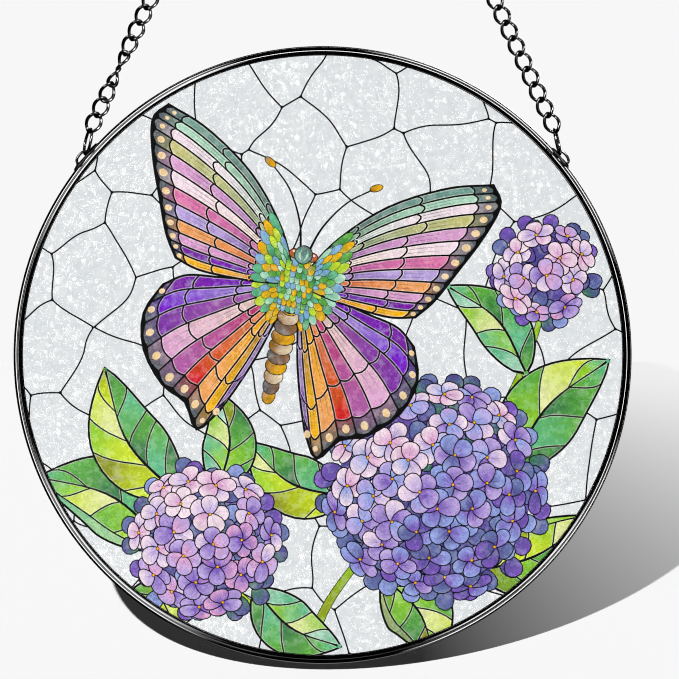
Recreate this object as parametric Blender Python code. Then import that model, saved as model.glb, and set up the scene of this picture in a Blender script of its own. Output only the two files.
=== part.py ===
"""Round stained-glass suncatcher on a chain.

A glass pane sits in a black metal rim. Two wire eyes on the rim's edge carry jump rings, and a curb
chain runs up from each jump ring to one top ring.

Metres, +Z up. The pane lies in the XZ plane and its front faces -Y. The origin is the inside of the
top ring at its highest point, where a hook bears.
"""

import math

import bmesh
import bpy
from mathutils import Matrix, Vector

# Pane and rim
RIM_RADIUS = 0.1000
RIM_FACE = 0.0029
RIM_DEPTH = 0.0050
RIM_WEB = 0.0011
RIM_SIDES = 72
PANE_THICKNESS = 0.0030

# The rim's front is an outer and an inner roll with a groove between them; its back is one plain roll
OUTER_ROLL = 0.0011
GROOVE_DEPTH = 0.0004
EDGE_ROUND = 0.0008
LIP_ROUND = 0.0004

# Wire eye on the rim's edge, in the rim's plane
EYE_ANGLE = math.radians(50.55)
EYE_WIRE = 0.0009
EYE_HALF_SPAN = 0.0023
EYE_RISE = 0.00105
EYE_LEG = 0.00105
EYE_FEET = {-1: (0.0040, 0.0024), 1: (0.0019, 0.0010)}  # by side: the foot above the arch, the one below
EYE_STEPS = 8
EYE_BEARING = math.radians(8)

# Jump ring and chain
JUMP_DIAMETER = 0.0093
JUMP_WIRE = 0.0010
JUMP_LEAN = math.radians(12)  # steeper than the chain, because the eye holds the ring's foot near the rim
JUMP_STEPS = 16
LINK_LENGTH = 0.0074
LINK_WIDTH = 0.0056
LINK_WIRE = 0.0010
LINK_SOLID_WIRE = 0.0012  # across the corners of its square section
LINK_TWIST = math.radians(45)
LINK_STEPS = 8
LINK_BEARING = 0.00087  # from one link's centreline to the next one's, where they bear
LINKS = 32
TURNED_LINKS = 5
TOP_TURN = math.radians(45)

# Ring that both chains hang from
TOP_DIAMETER = 0.0120
TOP_WIRE = 0.0015
TOP_STEPS = 20

GAP = 0.0003

COLOURS = {
    "black_metal": ((0.012, 0.012, 0.014), 0.22, 1.0),
    "glass": ((0.76, 0.80, 0.81), 0.08, 0.0),
}

# Heights and lengths that follow from the sizes above
PANE_RADIUS = RIM_RADIUS - RIM_WEB - GAP
CHANNEL_RADIUS = RIM_RADIUS - RIM_WEB
CHANNEL_HALF = PANE_THICKNESS / 2 + GAP
LINK_REACH = (LINK_LENGTH - LINK_WIRE) / 2
LINK_PITCH = 2 * LINK_REACH - LINK_BEARING
JUMP_REACH = (JUMP_DIAMETER - JUMP_WIRE) / 2
TOP_REACH = (TOP_DIAMETER - TOP_WIRE) / 2

# Distances down one chain's line, from the top ring's centre
FIRST_LINK = TOP_REACH - (TOP_WIRE + LINK_SOLID_WIRE) / 2 - GAP + LINK_REACH
LAST_LINK = FIRST_LINK + (LINKS - 1) * LINK_PITCH
JUMP_TOP = LAST_LINK + LINK_REACH - (LINK_SOLID_WIRE + JUMP_WIRE) / 2 - GAP


def eye_point(along, out, side):
    """A point near one eye: `along` the rim towards the top, `out` from the rim's edge."""
    outward = Vector((side * math.sin(EYE_ANGLE), 0, math.cos(EYE_ANGLE)))
    upward = Vector((-side * math.cos(EYE_ANGLE), 0, math.sin(EYE_ANGLE)))
    return (RIM_RADIUS + out) * outward + along * upward


def bow_point(angle, side):
    """A point on the eye's arched wire."""
    return eye_point(EYE_HALF_SPAN * math.cos(angle), EYE_LEG + EYE_RISE * math.sin(angle), side)


def foot_point(along, side):
    """A point on the wire of an eye's foot, which follows the rim's edge."""
    turn = EYE_ANGLE - along / RIM_RADIUS
    return (RIM_RADIUS + GAP + EYE_WIRE / 2) * Vector((side * math.sin(turn), 0, math.cos(turn)))


def jump_point(angle, side):
    """A point on a jump ring's wire: its foot at 0, its top at half a turn."""
    down = Vector((side * math.sin(JUMP_LEAN), 0, -math.cos(JUMP_LEAN)))
    foot = bow_point(EYE_BEARING, side) + ((JUMP_WIRE + EYE_WIRE) / 2 + GAP) * down
    return foot + JUMP_REACH * ((math.cos(angle) - 1) * down + Vector((0, math.sin(angle), 0)))


# The chain's line runs straight from the jump ring's top to the middle plane, X = 0
HOLD = jump_point(math.pi, 1)
CHAIN_LEAN = math.asin(HOLD.x / JUMP_TOP)
TOP_ABOVE_PANE = HOLD.z + JUMP_TOP * math.cos(CHAIN_LEAN)
PANE_CENTRE = Vector((0, 0, -(TOP_ABOVE_PANE + TOP_REACH - TOP_WIRE / 2)))
TOP_CENTRE = PANE_CENTRE + Vector((0, 0, TOP_ABOVE_PANE))


def chain_point(distance, across, depth, side):
    """A point beside one chain's line: `distance` down it, `across` in the pane's plane."""
    down = Vector((side * math.sin(CHAIN_LEAN), 0, -math.cos(CHAIN_LEAN)))
    sideways = Vector((math.cos(CHAIN_LEAN), 0, side * math.sin(CHAIN_LEAN)))
    return TOP_CENTRE + distance * down + across * sideways + Vector((0, depth, 0))


def remove_all():
    for thing in list(bpy.data.objects):
        bpy.data.objects.remove(thing)


def material(name):
    found = bpy.data.materials.get(name)
    if found:
        return found
    colour, roughness, metallic = COLOURS[name]
    made = bpy.data.materials.new(name)
    made.use_nodes = True
    shader = made.node_tree.nodes["Principled BSDF"]
    shader.inputs["Base Color"].default_value = (*colour, 1)
    shader.inputs["Roughness"].default_value = roughness
    shader.inputs["Metallic"].default_value = metallic
    if name == "glass":
        shader.inputs["Transmission Weight"].default_value = 1.0
    return made


def add_object(name, mesh, finish):
    piece = bpy.data.objects.new(name, mesh)
    bpy.context.scene.collection.objects.link(piece)
    mesh.materials.append(material(finish))
    mesh.shade_smooth()
    mesh.set_sharp_from_angle(angle=math.radians(40))
    return piece


def turned(name, profile, finish):
    """A body turned about the pane's axis from a closed profile of (radius, depth) points."""
    bm = bmesh.new()
    corners = [bm.verts.new((radius, depth, 0)) for radius, depth in profile]
    edges = [bm.edges.new((a, b)) for a, b in zip(corners, corners[1:] + corners[:1])]
    bmesh.ops.spin(
        bm,
        geom=corners + edges,
        axis=(0, 1, 0),
        angle=2 * math.pi,
        steps=RIM_SIDES,
        use_merge=True,
    )
    bmesh.ops.recalc_face_normals(bm, faces=bm.faces)
    mesh = bpy.data.meshes.new(name)
    bm.to_mesh(mesh)
    bm.free()
    piece = add_object(name, mesh, finish)
    piece.location = PANE_CENTRE
    return piece


def rim():
    """The channel round the pane: two rolls on the front, one plain roll on the back."""
    inner = RIM_RADIUS - RIM_FACE
    half = RIM_DEPTH / 2
    groove = RIM_RADIUS - OUTER_ROLL
    front = [
        (RIM_RADIUS, -half + EDGE_ROUND),
        (RIM_RADIUS - EDGE_ROUND / 2, -half + EDGE_ROUND / 3),
        (groove, -half + GROOVE_DEPTH),
        (groove - LIP_ROUND, -half),
        (inner + LIP_ROUND, -half),
        (inner, -half + LIP_ROUND),
        (inner, -CHANNEL_HALF),
        (CHANNEL_RADIUS, -CHANNEL_HALF),
    ]
    back = [
        (CHANNEL_RADIUS, CHANNEL_HALF),
        (inner, CHANNEL_HALF),
        (inner, half - LIP_ROUND),
        (inner + LIP_ROUND, half),
        (RIM_RADIUS - EDGE_ROUND, half),
        (RIM_RADIUS, half - EDGE_ROUND),
    ]
    return turned("rim", front + back, "black_metal")


def glass_panel():
    """The pane: one round plate with its edge inside the rim's channel."""
    bm = bmesh.new()
    bmesh.ops.create_circle(bm, cap_ends=True, segments=RIM_SIDES, radius=PANE_RADIUS)
    bmesh.ops.rotate(bm, verts=bm.verts, matrix=Matrix.Rotation(math.radians(90), 3, "X"))
    bmesh.ops.translate(bm, verts=bm.verts, vec=(0, -PANE_THICKNESS / 2, 0))
    grown = bmesh.ops.extrude_face_region(bm, geom=bm.faces[:])["geom"]
    moved = [part for part in grown if isinstance(part, bmesh.types.BMVert)]
    bmesh.ops.translate(bm, verts=moved, vec=(0, PANE_THICKNESS, 0))
    bmesh.ops.recalc_face_normals(bm, faces=bm.faces)
    mesh = bpy.data.meshes.new("glass_panel")
    bm.to_mesh(mesh)
    bm.free()
    piece = add_object("glass_panel", mesh, "glass")
    piece.location = PANE_CENTRE
    return piece


def wire_mesh(name, runs, diameter, closed, rounding=1):
    """One mesh of wire along each run of points, six-sided, or square at `rounding` 0."""
    curve = bpy.data.curves.new(name, "CURVE")
    curve.dimensions = "3D"
    curve.bevel_depth = diameter / 2
    curve.bevel_resolution = rounding
    curve.use_fill_caps = not closed
    for run in runs:
        spline = curve.splines.new("POLY")
        spline.points.add(len(run) - 1)
        for knot, place in zip(spline.points, run):
            knot.co = (*place, 1)
        spline.use_cyclic_u = closed
    holder = bpy.data.objects.new(name, curve)
    bpy.context.scene.collection.objects.link(holder)
    mesh = bpy.data.meshes.new_from_object(holder)
    bpy.data.objects.remove(holder)
    bpy.data.curves.remove(curve)
    mesh.name = name
    return mesh


def hanging_eye(name, side):
    """A low arched wire with a foot at each end that lies along the rim."""
    arch = [bow_point(math.pi * step / EYE_STEPS, side) for step in range(EYE_STEPS + 1)]
    upper, lower = EYE_FEET[side]
    above = [foot_point(EYE_HALF_SPAN + upper * share, side) for share in (1, 0.5)]
    below = [foot_point(-EYE_HALF_SPAN - lower * share, side) for share in (0.5, 1)]
    run = [PANE_CENTRE + point for point in [*above, *arch, *below]]
    return add_object(name, wire_mesh(name, [run], EYE_WIRE, False), "black_metal")


def jump_ring(name, side):
    """A round ring across the pane's plane, from the eye to the lowest link."""
    turns = [2 * math.pi * step / JUMP_STEPS for step in range(JUMP_STEPS)]
    run = [PANE_CENTRE + jump_point(angle, side) for angle in turns]
    return add_object(name, wire_mesh(name, [run], JUMP_WIRE, True), "black_metal")


def link_run(number, side):
    """The centreline of one link: an oval twisted about the chain's line.

    The highest few links also turn towards edge-on, so that the first one hangs square in the top ring.
    """
    half_width = (LINK_WIDTH - LINK_WIRE) / 2
    edge_on = TOP_TURN * max(0, 1 - number / TURNED_LINKS)
    run = []
    corner = math.cos(math.pi / LINK_STEPS)
    for step in range(LINK_STEPS):
        angle = 2 * math.pi * (step + 0.5) / LINK_STEPS
        rise = math.sin(angle) / corner
        reach = half_width * math.cos(angle) / corner
        turn = LINK_TWIST * rise + edge_on
        distance = FIRST_LINK + number * LINK_PITCH - LINK_REACH * rise
        run.append(chain_point(distance, reach * math.cos(turn), reach * math.sin(turn), side))
    return run


def chain(name, side):
    """All links of one side, joined where each bears on the next."""
    runs = [link_run(number, side) for number in range(LINKS)]
    halves = []
    for half_name, half_runs in ((name, runs[0::2]), (name + "_between", runs[1::2])):
        mesh = wire_mesh(half_name, half_runs, LINK_SOLID_WIRE, True, rounding=0)
        halves.append(add_object(half_name, mesh, "black_metal"))
    piece, between = halves
    between.hide_render = True
    between.display_type = "WIRE"
    union = piece.modifiers.new("links", "BOOLEAN")
    union.operation = "UNION"
    union.object = between
    return piece


def top_ring():
    """The round ring in the pane's plane that takes the hook and both chains."""
    run = []
    for step in range(TOP_STEPS):
        angle = 2 * math.pi * (step + 0.5) / TOP_STEPS
        run.append(TOP_CENTRE + TOP_REACH * Vector((math.cos(angle), 0, math.sin(angle))))
    return add_object("top_ring", wire_mesh("top_ring", [run], TOP_WIRE, True), "black_metal")


def main():
    remove_all()
    glass_panel()
    rim()
    for word, side in (("left", -1), ("right", 1)):
        hanging_eye("hanging_eye_" + word, side)
        jump_ring("jump_ring_" + word, side)
        chain("chain_" + word, side)
    top_ring()


main()
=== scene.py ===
"""Looks of a round stained-glass suncatcher: the printed pane, its black rim, its eyes and its chains.

The picture on the pane is a generic one: a butterfly over round flower heads, among leaves, on clear
panes. It is laid out in millimetres from the pane's centre and cut into one flat partition, so that
every line and every wash of colour is a face of the glass itself and nothing stands proud of it.
"""

import math
import random
from collections import namedtuple

import bmesh
import bpy
import numpy as np
from mathutils import Matrix, Vector, noise
from mathutils.geometry import delaunay_2d_cdt


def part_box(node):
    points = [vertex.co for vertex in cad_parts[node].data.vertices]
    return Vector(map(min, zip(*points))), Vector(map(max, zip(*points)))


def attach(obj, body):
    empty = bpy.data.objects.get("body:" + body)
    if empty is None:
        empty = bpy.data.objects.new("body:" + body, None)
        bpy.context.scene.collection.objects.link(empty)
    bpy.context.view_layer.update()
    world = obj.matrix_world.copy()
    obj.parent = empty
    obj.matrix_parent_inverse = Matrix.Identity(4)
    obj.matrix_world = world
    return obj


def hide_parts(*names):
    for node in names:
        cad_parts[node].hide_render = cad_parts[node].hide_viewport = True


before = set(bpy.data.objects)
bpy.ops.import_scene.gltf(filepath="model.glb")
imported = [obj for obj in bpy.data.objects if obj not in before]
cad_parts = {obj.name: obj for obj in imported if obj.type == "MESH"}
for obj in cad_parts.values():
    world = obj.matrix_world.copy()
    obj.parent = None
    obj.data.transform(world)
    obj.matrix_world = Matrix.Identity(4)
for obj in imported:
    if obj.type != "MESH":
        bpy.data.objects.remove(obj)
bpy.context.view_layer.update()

MM = 0.001
PER_MM = 1 / MM


def rgb(red, green, blue):
    """A screen colour of 0 to 255 as the linear light that a shader wants."""
    parts = [value / 255 for value in (red, green, blue)]
    return tuple(v / 12.92 if v <= 0.04045 else ((v + 0.055) / 1.055) ** 2.4 for v in parts)


def mean(first, second, share):
    """The number that is `share` of the way from the first to the second."""
    return first + (second - first) * share


def blend(first, second, share):
    """The same for a colour or a point."""
    return tuple(a + (b - a) * share for a, b in zip(first, second))


# ---- sizes read from the frame

PANE_LOW, PANE_HIGH = (Vector(corner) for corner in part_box("glass_panel"))
PANE_CENTRE = (PANE_LOW + PANE_HIGH) / 2
PANE_RADIUS = (PANE_HIGH.x - PANE_LOW.x) / 2
PANE_THICKNESS = PANE_HIGH.y - PANE_LOW.y
RIM_LOW, RIM_HIGH = (Vector(corner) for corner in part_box("rim"))
RIM_RADIUS = (RIM_HIGH.x - RIM_LOW.x) / 2
RIM_HALF = (RIM_HIGH.y - RIM_LOW.y) / 2
RIM_FACE = 0.0029
RIM_WEB = 0.0011

# ---- inks

CLEAR, STAIN, LEAD = 0, 1, 2

# Line widths, and the paler edge of a glazed pane, in millimetres
LINE = 0.50
FINE_LINE = 0.48
PETAL_LINE = 0.36
BOLD_LINE = 0.90
WING_LINE = 0.56
SCALE_LINE = 0.15
BORDER_SHOWN = 0.14
EDGE_WIDTH = 0.22
EDGE_PALENESS = 0.36
PALE_EDGE = rgb(250, 250, 236)

LIME = rgb(205, 228, 70)
FRESH = rgb(140, 200, 60)
GREEN = rgb(80, 160, 55)
DEEP_GREEN = rgb(32, 98, 44)
TEAL = rgb(88, 178, 128)
OLIVE = rgb(128, 136, 30)
STRAW = rgb(232, 238, 160)

PINK_WHITE = rgb(250, 226, 238)
ROSE = rgb(222, 160, 206)
LAVENDER = rgb(188, 164, 224)
PERIWINKLE = rgb(146, 162, 228)
VIOLET = rgb(112, 78, 178)
INDIGO = rgb(62, 56, 126)
SLATE = rgb(88, 102, 156)
CENTRE_ORANGE = rgb(242, 166, 46)

PINK = rgb(220, 112, 162)
MAUVE = rgb(164, 82, 156)
PEACH = rgb(242, 162, 98)
CREAM = rgb(242, 222, 186)
PURPLE = rgb(106, 42, 148)
VIVID_VIOLET = rgb(104, 26, 192)
RED = rgb(200, 36, 44)
AMBER = rgb(250, 176, 28)
BROWN = rgb(126, 78, 32)
TAN = rgb(196, 190, 116)
MINT = rgb(176, 220, 194)
SAGE = rgb(98, 144, 130)
CHARCOAL = rgb(46, 54, 60)
SKY = rgb(120, 170, 220)


# What one painted shape is: clear glass, black line, or a stain that runs between two colours
Ink = namedtuple("Ink", "kind low high start end", defaults=((1, 1, 1), (1, 1, 1), (0, 0), (1, 0)))
LEAD_INK = Ink(LEAD)
CLEAR_INK = Ink(CLEAR)


class Picture:
    """Shapes in the order they are painted: each one covers what is already there."""

    def __init__(self):
        self.outlines = []
        self.inks = []

    def paint(self, outline, ink):
        shape = np.array(outline, float)
        if len(shape) >= 3 and abs(area(shape)) > 0.004:
            self.outlines.append(shape)
            self.inks.append(ink)

    def stain(self, outline, low, high, start, end):
        self.paint(outline, Ink(STAIN, low, high, start, end))

    def lined(self, outline, line, low, high, start, end):
        """A stained shape with a black line round it."""
        self.paint(grow(outline, line), LEAD_INK)
        self.stain(outline, low, high, start, end)

    def glazed(self, outline, low, high, start, end):
        """A stained shape whose very edge is paler, as where stain thins beside a line."""
        pale = (blend(colour, PALE_EDGE, EDGE_PALENESS) for colour in (low, high))
        self.stain(outline, *pale, start, end)
        self.stain(grow(outline, -EDGE_WIDTH), low, high, start, end)


# ---- plane geometry

def turns(count):
    return [2 * math.pi * step / count for step in range(count)]


def half_turn(count):
    return [math.pi * step / count for step in range(count + 1)]


def area(outline):
    x, y = outline[:, 0], outline[:, 1]
    return 0.5 * float(np.sum(x * np.roll(y, -1) - np.roll(x, -1) * y))


def lengths(arrows, least):
    return np.maximum(np.linalg.norm(arrows, axis=1, keepdims=True), least)


def grow(outline, amount):
    """The outline moved outwards by `amount`, or inwards where it is negative. Tips keep a short point."""
    points = np.array(outline, float)
    before = points - np.roll(points, 1, 0)
    after = np.roll(points, -1, 0) - points
    before /= lengths(before, 1e-9)
    after /= lengths(after, 1e-9)
    sign = 1.0 if area(points) > 0 else -1.0
    normal = np.stack([before[:, 1] + after[:, 1], -(before[:, 0] + after[:, 0])], 1) * sign
    length = lengths(normal, 1e-6)
    return points + normal / length * (amount / np.maximum(length / 2, 0.45))


def through(points, steps):
    """A smooth line through the points."""
    knots = [Vector(p) for p in points]
    knots = [2 * knots[0] - knots[1], *knots, 2 * knots[-1] - knots[-2]]
    line = []
    for a, b, c, d in zip(knots, knots[1:], knots[2:], knots[3:]):
        for step in range(steps):
            t = step / steps
            square, cube = 2 * a - 5 * b + 4 * c - d, 3 * b - a - 3 * c + d
            line.append(0.5 * (2 * b + (c - a) * t + square * t * t + cube * t ** 3))
    line.append(knots[-2])
    return [(p.x, p.y) for p in line]


def along(line, share):
    """The point at a share of an open line's length in points."""
    place = min(max(share, 0.0), 1.0) * (len(line) - 1)
    step = min(int(place), len(line) - 2)
    return blend(line[step], line[step + 1], place - step)


def direction(line, share):
    """The line's unit direction there."""
    step = Vector(along(line, share + 0.02)) - Vector(along(line, share - 0.02))
    return step.normalized()


def width_at(widths, share):
    """The width at a share of a line whose widths are listed from end to end."""
    return along([(w, 0) for w in widths], share)[0]


def stroke(line, widths):
    """The outline of a brush stroke along a line, as wide as the list of widths says from end to end."""
    left, right = [], []
    count = len(line)
    for index, point in enumerate(line):
        share = index / (count - 1)
        way = direction(line, share)
        half = width_at(widths, share) / 2
        left.append((point[0] - way.y * half, point[1] + way.x * half))
        right.append((point[0] + way.y * half, point[1] - way.x * half))
    return left + right[::-1]


def ellipse(centre, half_long, half_wide, angle=0.0, points=16):
    cos, sin = math.cos(angle), math.sin(angle)
    rim = []
    for t in turns(points):
        along_it, across = half_long * math.cos(t), half_wide * math.sin(t)
        rim.append((centre[0] + along_it * cos - across * sin, centre[1] + along_it * sin + across * cos))
    return rim


SCATTER_TRIES = 4000


def scattered(rng, inside, box, spacing):
    """Points at least `spacing` apart, where `inside` allows them."""
    found = []
    for _ in range(SCATTER_TRIES):
        spot = (rng.uniform(box[0], box[2]), rng.uniform(box[1], box[3]))
        if inside(spot) and all(math.dist(spot, other) >= spacing for other in found):
            found.append(spot)
    return found


# ---- motifs

CRACKLE_SPACING = 18.5
CRACKLE_BEYOND = 45
CRACKLE_KEPT_BEYOND = 24
CRACKLE_STEP = 1.6
WAVE_LENGTH = 19
WAVE_HEIGHT = 4.2


def crackle(picture, radius, rng):
    """Clear panes with thin curved black lines between them."""
    reach = radius + CRACKLE_BEYOND
    points = scattered(rng, lambda p: math.hypot(*p) < reach, (-reach, -reach, reach, reach), CRACKLE_SPACING)
    corners, _, triangles = delaunay_2d_cdt([Vector(p) for p in points], [], [], 0, 1e-4, True)[:3]
    around = {}
    for triangle in triangles:
        middle = circumcentre(*(corners[i] for i in triangle))
        if middle is not None:
            for i in triangle:
                around.setdefault(i, []).append(middle)
    for index, middles in around.items():
        home = corners[index]
        if home.length > radius + CRACKLE_KEPT_BEYOND or len(middles) < 3:
            continue
        middles.sort(key=lambda m: math.atan2(m.y - home.y, m.x - home.x))
        outline = []
        for here, there in zip(middles, middles[1:] + middles[:1]):
            steps = max(1, round((there - here).length / CRACKLE_STEP))
            outline += [wavy(here.lerp(there, step / steps)) for step in range(steps)]
        picture.paint(rounded(grow(outline, -LINE / 2)), CLEAR_INK)


def circumcentre(a, b, c):
    """The centre of the circle through three points, unless it lies far off."""
    bend = 2 * (a.x * (b.y - c.y) + b.x * (c.y - a.y) + c.x * (a.y - b.y))
    if abs(bend) < 1e-6:
        return None
    aa, bb, cc = a.length_squared, b.length_squared, c.length_squared
    x = (aa * (b.y - c.y) + bb * (c.y - a.y) + cc * (a.y - b.y)) / bend
    y = (aa * (c.x - b.x) + bb * (a.x - c.x) + cc * (b.x - a.x)) / bend
    return Vector((x, y)) if math.hypot(x, y) < 400 else None


def wavy(point):
    """A place moved a little, so that straight lines through it turn into gentle curves."""
    x, y = point.x / WAVE_LENGTH, point.y / WAVE_LENGTH
    aside, up = (noise.noise(Vector((x, y, layer))) for layer in (3.1, 13.7))
    return (point.x + WAVE_HEIGHT * aside, point.y + WAVE_HEIGHT * up)


def rounded(outline):
    """The outline with each corner cut once."""
    points = np.array(outline, float)
    ahead = np.roll(points, -1, 0)
    pairs = np.stack([points * 0.75 + ahead * 0.25, points * 0.25 + ahead * 0.75], 1)
    return pairs.reshape(-1, 2)


def leaf(picture, rng, base, tip, bow, width, lights, darks, veins, rolled):
    """A pointed leaf in panes: `bow` bends its midrib, and `rolled` picks a side whose edge turns over."""
    base, tip = Vector(base), Vector(tip)
    side = Vector((-(tip - base).y, (tip - base).x)).normalized()
    rib = through([base, (base + tip) / 2 + side * bow, tip + side * bow * 0.1], 14)
    long = (tip - base).length

    def place(s, w):
        """The place at a share of the midrib and a share of the half width beside it."""
        spot, way = along(rib, s), direction(rib, min(max(s, 0.03), 0.97))
        reach = w * (width / 2 * math.sin(math.pi * min(max(s, 0.0), 1.0) ** 0.82) ** 0.85)
        return (spot[0] - way.y * reach, spot[1] + way.x * reach)

    steps = 16
    outline = [place(i / steps, 1) for i in range(steps + 1)]
    outline += [place(1 - i / steps, -1) for i in range(1, steps)]
    picture.paint(grow(outline, BOLD_LINE / 2), LEAD_INK)
    for hand, tones in ((1, lights), (-1, darks)):
        starts = [0.0] + [0.78 * (i + 0.55 + rng.uniform(-0.12, 0.12)) / veins for i in range(veins)] + [1.0]
        ends = [0.0] + [min(0.97, s + 0.20 + rng.uniform(-0.03, 0.05)) for s in starts[1:-1]] + [1.0]
        edge = 0.74 if rolled == hand else 1.0

        def vein(i, w):
            return mean(starts[i], ends[i], w ** 0.85)

        for i in range(len(starts) - 1):
            pane = [place(mean(starts[i], starts[i + 1], k / 4), 0) for k in range(5)]
            pane += [place(vein(i + 1, edge * k / 5), hand * edge * k / 5) for k in range(1, 6)]
            pane += [place(mean(vein(i + 1, edge), vein(i, edge), k / 5), hand * edge) for k in range(1, 6)]
            pane += [place(vein(i, edge * (1 - k / 5)), hand * edge * (1 - k / 5)) for k in range(1, 5)]
            inner = place((starts[i] + ends[i]) / 2, hand * 0.05)
            outer = place((starts[i + 1] + ends[i + 1]) / 2, hand)
            picture.glazed(grow(pane, -FINE_LINE / 2), *tones[i % len(tones)], inner, outer)
        if edge < 1:
            band = [place(i / steps, hand) for i in range(steps + 1)]
            band += [place(1 - i / steps, hand * edge) for i in range(1, steps)]
            high = tones[-1][1]
            picture.stain(grow(band, -FINE_LINE / 2), blend(high, STRAW, 0.5), high, base, tip)
    spine = [along(rib, 0.02 + 0.9 * k / 12) for k in range(13)]
    picture.paint(stroke(spine, [0.028 * long ** 0.9, 0.8, 0.25]), LEAD_INK)


def petal(centre, angle, length, width, squash, outward, points=14):
    """An egg-shaped petal from a floret's centre, flattened along `outward` where the floret turns away."""
    shape = []
    for turn in turns(points):
        reach = length * (0.5 - 0.5 * math.cos(turn)) ** 0.86
        spread = width / 2 * math.sin(turn) * (0.82 + 0.36 * reach / length)
        x = reach * math.cos(angle) - spread * math.sin(angle)
        y = reach * math.sin(angle) + spread * math.cos(angle)
        away = x * outward[0] + y * outward[1]
        x -= away * (1 - squash) * outward[0]
        y -= away * (1 - squash) * outward[1]
        shape.append((centre[0] + x, centre[1] + y))
    return shape


def floret(picture, rng, centre, size, tones, squash, outward):
    """One small flower of five petals with an orange middle."""
    start = rng.uniform(0, 2 * math.pi)
    order = list(range(PETALS))
    rng.shuffle(order)
    for number in order:
        angle = start + (number + rng.uniform(-0.12, 0.12)) * 2 * math.pi / PETALS
        length = size * rng.uniform(0.46, 0.54)
        shape = petal(centre, angle, length, size * rng.uniform(0.38, 0.45), squash, outward)
        tip = shape[len(shape) // 2]
        low, high = tones[rng.randrange(len(tones))]
        picture.lined(shape, PETAL_LINE, low, high, blend(centre, tip, 0.1), tip)
        for offset, share in ((0.0, 0.62), (0.34, 0.48), (-0.34, 0.48)):
            if rng.random() < 0.62:
                inner = blend(centre, tip, 0.22)
                reach = math.dist(centre, tip) * share
                way = angle + offset
                outer = (inner[0] + reach * math.cos(way), inner[1] + reach * math.sin(way))
                line = through([inner, blend(inner, outer, 0.5), outer], 2)
                shade = blend(low, INDIGO, 0.55)
                picture.stain(stroke(line, [0.20, 0.13, 0.04]), shade, shade, inner, outer)
    picture.paint(ellipse(centre, 0.62, 0.62, points=8), LEAD_INK)
    dot = ellipse(centre, 0.42, 0.42, points=8)
    picture.stain(dot, CENTRE_ORANGE, AMBER, centre, (centre[0] + 0.4, centre[1]))


# Petals and florets as shares of a floret's size
PETALS = 5
UNDER_SPACING = 0.34
FLORET_SPACING = 0.60
UNDER_TONES = [(INDIGO, SLATE), (INDIGO, VIOLET), (SLATE, PERIWINKLE), (DEEP_GREEN, INDIGO)]


def flower_head(picture, rng, centre, radius, size, families):
    """A round head of florets: the outer ones turn away and lie under the inner ones."""

    def inside(spot):
        return math.dist(spot, centre) < radius

    ground = ellipse(centre, radius * 0.95, radius * 0.95, points=40)
    picture.stain(ground, INDIGO, VIOLET, centre, (centre[0] + radius, 0))
    box = (centre[0] - radius, centre[1] - radius, centre[0] + radius, centre[1] + radius)
    under = scattered(rng, inside, box, size * UNDER_SPACING)
    for spot in sorted(under, key=lambda p: -math.dist(p, centre)):
        away = math.atan2(spot[1] - centre[1], spot[0] - centre[0])
        angle = away + rng.uniform(-0.9, 0.9)
        shape = petal(spot, angle, size * 0.50, size * 0.42, 1, (1, 0), 12)
        picture.lined(shape, PETAL_LINE, *rng.choice(UNDER_TONES), spot, shape[6])
    spots = scattered(rng, inside, box, size * FLORET_SPACING)
    for spot in sorted(spots, key=lambda p: -math.dist(p, centre) + rng.uniform(-3, 3)):
        away = Vector(spot) - Vector(centre)
        share = away.length / radius
        outward = away.normalized() if away.length > 0.01 else Vector((1, 0))
        light = 0.5 + 0.5 * (outward.y * 0.75 - outward.x * 0.45) * share + rng.uniform(-0.26, 0.26)
        family = families[min(len(families) - 1, max(0, int(light * len(families))))]
        floret(picture, rng, spot, size * rng.uniform(0.90, 1.08), family, 1 - 0.42 * share ** 3, outward)


def stem(picture, points, widths, low, high):
    line = through(points, 6)
    picture.lined(stroke(line, widths), LINE / 2, low, high, line[0], line[-1])


# ---- butterfly

class Wing:
    """A wing between its leading edge, its outer edge and its trailing edge.

    `at(t, s)` runs from the leading edge, t = 0, to the trailing edge, t = 1, and out from the root, s = 0.
    """

    def __init__(self, lead, outer, trail, place):
        self.lead, self.outer, self.trail = (through(side, 8) for side in (lead, outer, trail))
        self.place = place

    def at(self, t, s):
        x, y = blend(along(self.lead, s), along(self.trail, s), t)
        edge, chord = along(self.outer, t), blend(self.outer[0], self.outer[-1], t)
        pull = s ** 1.35
        return self.place((x + (edge[0] - chord[0]) * pull, y + (edge[1] - chord[1]) * pull))

    def outline(self, steps=18):
        ends = [(0, 0), (0, 1), (1, 1), (1, 0)]
        return [self.at(*blend(a, b, k / steps)) for a, b in zip(ends, ends[1:]) for k in range(steps)]

    def cell(self, t0, t1, s0, s1, scallop, steps=5):
        """The patch between two veins and two bands; a scallop bulges its inner and outer sides."""

        def side(s, k):
            return s + scallop * (math.sin(math.pi * k / steps) - 0.6)

        low0, low1, high0, high1 = side(s0, 0), side(s0, steps), side(s1, 0), side(s1, steps)
        rim = [self.at(t0 + (t1 - t0) * k / steps, side(s0, k)) for k in range(steps)]
        rim += [self.at(t1, low1 + (high1 - low1) * k / steps) for k in range(steps)]
        rim += [self.at(t1 + (t0 - t1) * k / steps, side(s1, k)) for k in range(steps)]
        rim += [self.at(t0, high0 + (low0 - high0) * k / steps) for k in range(steps)]
        return rim


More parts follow.
